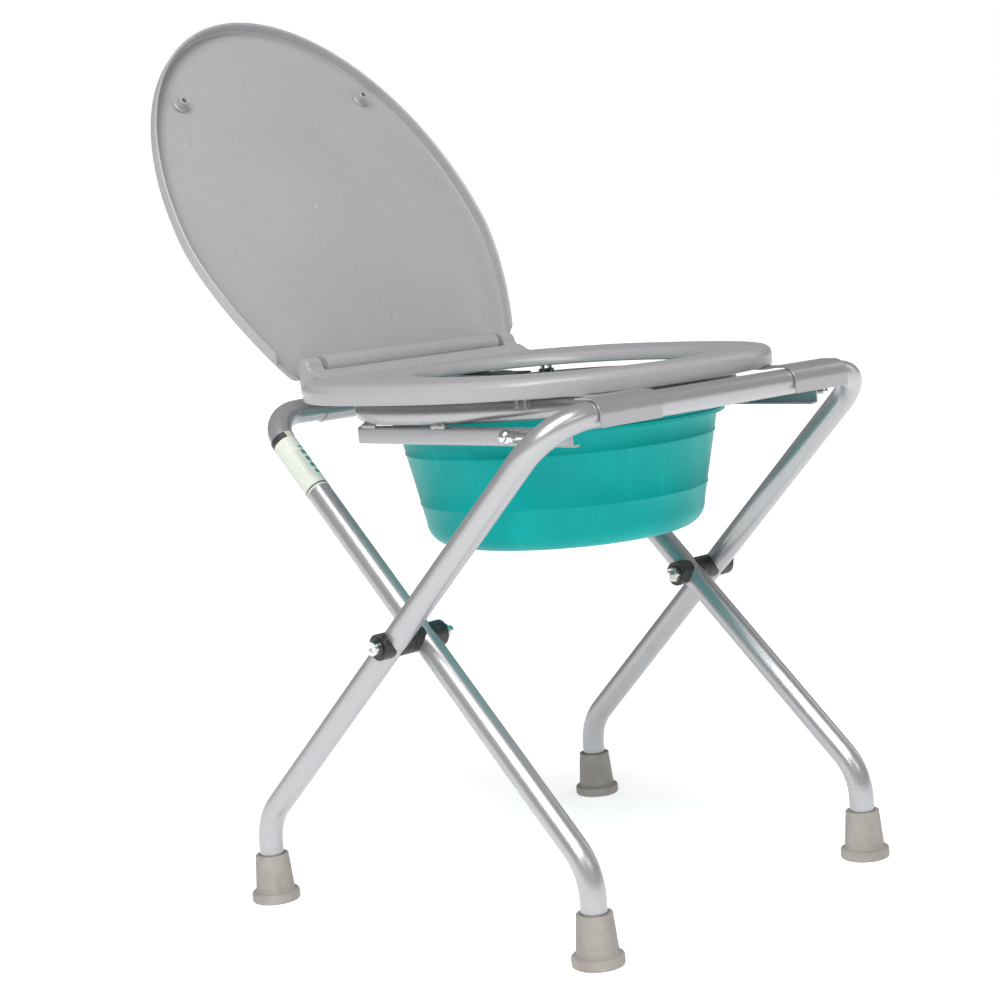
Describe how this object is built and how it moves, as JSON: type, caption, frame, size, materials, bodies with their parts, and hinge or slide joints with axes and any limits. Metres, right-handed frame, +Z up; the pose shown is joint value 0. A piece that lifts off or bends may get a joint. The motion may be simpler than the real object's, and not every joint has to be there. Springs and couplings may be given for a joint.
{
  "type": "commode chair",
  "caption": "Folding commode chair: crossed tube frames on rubber feet, a hinged oval seat with a lid, and a round bucket that slides out on rails.",
  "frame": {"origin": "centre of the base of the whole chair's box, with the lid open, on the floor", "axes": "+Z up, the chair faces -Y, +X is to its left as it faces (the viewer's right from the front)"},
  "size_m": [0.4578, 0.6244, 0.8116],
  "materials": {
    "silver_paint": "satin silver coating",
    "foot_rubber": "matt grey",
    "zinc_steel": "bright zinc",
    "bright_steel": "nickel plated",
    "black_nylon": "moulded",
    "seat_plastic": "semi-gloss moulded",
    "bucket_plastic": "semi-gloss moulded",
    "label_paper": "printed film"
  },
  "bodies": {
    "rear_frame": {"rear_frame_tube": "silver_paint", "front_foot_left": "foot_rubber", "front_foot_right": "foot_rubber", "front_foot_washers": "zinc_steel", "inner_spacer_left": "black_nylon", "inner_spacer_right": "black_nylon", "inner_cap_left": "black_nylon", "inner_cap_right": "black_nylon", "quality_label": "label_paper"},
    "front_frame": {"front_frame_tube": "silver_paint", "rear_foot_left": "foot_rubber", "rear_foot_right": "foot_rubber", "rear_foot_washers": "zinc_steel", "outer_spacer_left": "black_nylon", "outer_spacer_right": "black_nylon", "outer_cap_left": "black_nylon", "outer_cap_right": "black_nylon", "pivot_bolt_left": "bright_steel", "pivot_bolt_right": "bright_steel", "pivot_nut_left": "zinc_steel", "pivot_nut_right": "zinc_steel"},
    "seat": {"seat": "seat_plastic", "seat_ring_tube": "silver_paint", "seat_snap_clips": "seat_plastic", "weld_beads": "silver_paint", "side_rail_left": "silver_paint", "side_rail_right": "silver_paint", "front_clip_left": "silver_paint", "front_clip_right": "silver_paint", "hinge_sleeve_left": "silver_paint", "hinge_sleeve_right": "silver_paint", "pin_guide_left": "bright_steel", "pin_guide_right": "bright_steel", "lid_hinge_pin_left": "bright_steel", "lid_hinge_pin_right": "bright_steel"},
    "lid": {"lid": "seat_plastic"},
    "bucket": {"bucket": "bucket_plastic"},
    "lock_pin_left": {"lock_pin_left": "bright_steel"},
    "lock_pin_right": {"lock_pin_right": "bright_steel"}
  },
  "joints": [
    {"name": "frame_fold", "type": "hinge", "parent": "rear_frame", "child": "front_frame", "pos_m": [0, -0.09461, 0.2506], "axis": [-1, 0, 0], "range_deg": [0, 70]},
    {"name": "seat_swing", "type": "hinge", "parent": "rear_frame", "child": "seat", "pos_m": [0, 0.10349, 0.4364], "axis": [-1, 0, 0], "range_deg": [0, 147]},
    {"name": "lid_hinge", "type": "hinge", "parent": "seat", "child": "lid", "pos_m": [0, 0.08739, 0.4748], "axis": [1, 0, 0], "range_deg": [0, 123.6]},
    {"name": "bucket_slide", "type": "slide", "parent": "seat", "child": "bucket", "axis": [0, -1, 0], "range_m": [0, 0.26]},
    {"name": "lock_pin_left_slide", "type": "slide", "parent": "seat", "child": "lock_pin_left", "axis": [0, -1, 0], "range_m": [0, 0.016]},
    {"name": "lock_pin_right_slide", "type": "slide", "parent": "seat", "child": "lock_pin_right", "axis": [0, -1, 0], "range_m": [0, 0.016]}
  ],
  "couplings": [
    {"joint": "seat_swing", "follows": "frame_fold", "ratio": 2.1}
  ]
}
